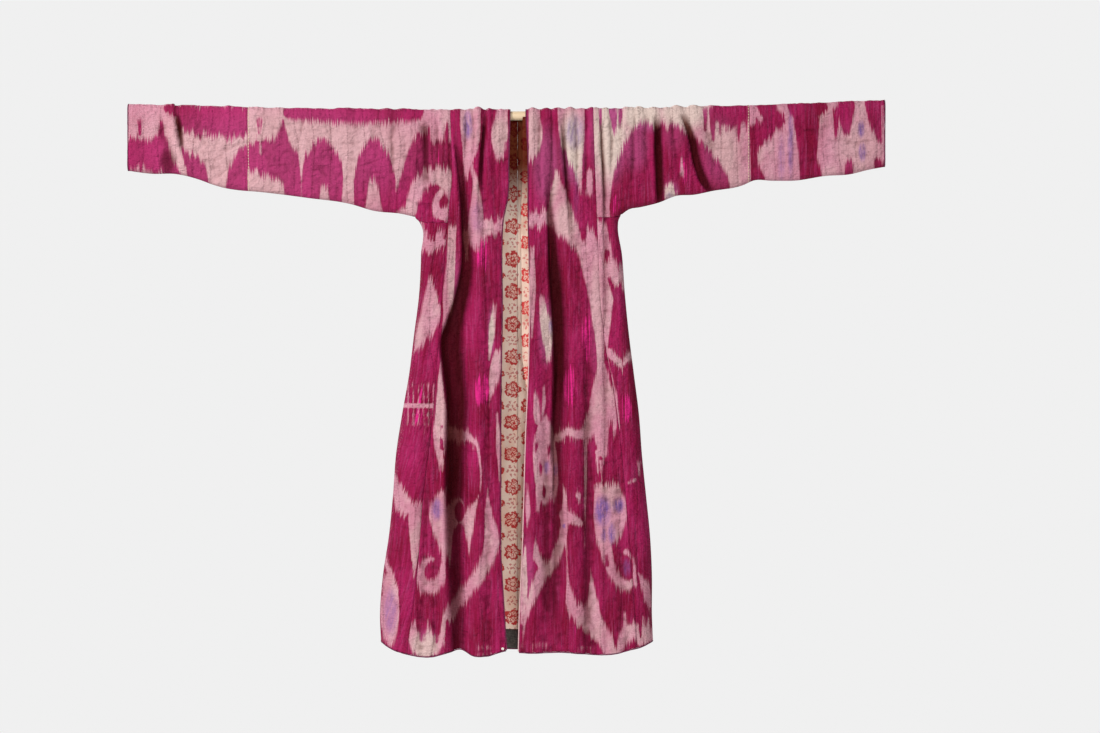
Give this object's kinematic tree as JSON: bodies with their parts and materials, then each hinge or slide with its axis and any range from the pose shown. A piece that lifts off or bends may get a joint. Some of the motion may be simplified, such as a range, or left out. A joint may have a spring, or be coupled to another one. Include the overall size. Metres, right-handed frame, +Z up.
{
  "type": "ikat robe on a wooden hanging rod",
  "caption": "Long open-fronted quilted ikat robe with long straight sleeves, hung flat by its sleeves on a slim round wooden rod.",
  "frame": {"origin": "axis of the hanging rod at the robe's neck, where the two fronts part", "axes": "+X to the viewer's right along the rod, +Y from the robe's front to its back, +Z up"},
  "size_m": [1.6465, 0.1163, 1.2089],
  "materials": {
    "ikat_cloth": "silk and cotton warp ikat",
    "lining_cotton": "matte printed cotton",
    "facing_cloth": "matte cotton",
    "edging_braid": "narrow silk braid",
    "rod_wood": "bare pale wood"
  },
  "bodies": {
    "root": {"rod": "rod_wood", "front_facing_right": "lining_cotton", "front_left": "ikat_cloth", "back_left": "ikat_cloth", "gore_left": "ikat_cloth", "sleeve_upper_left": "ikat_cloth", "sleeve_lower_left": "ikat_cloth", "lining_left": "lining_cotton", "hem_facing_left": "facing_cloth", "edging_front_left": "edging_braid", "edging_hem_front_left": "edging_braid", "edging_hem_back_left": "edging_braid", "edging_hem_gore_left": "edging_braid", "edging_cuff_left": "edging_braid", "front_right": "ikat_cloth", "back_right": "ikat_cloth", "gore_right": "ikat_cloth", "sleeve_upper_right": "ikat_cloth", "sleeve_lower_right": "ikat_cloth", "lining_right": "lining_cotton", "hem_facing_right": "facing_cloth", "edging_front_right": "edging_braid", "edging_hem_front_right": "edging_braid", "edging_hem_back_right": "edging_braid", "edging_hem_gore_right": "edging_braid", "edging_cuff_right": "edging_braid"}
  },
  "joints": []
}
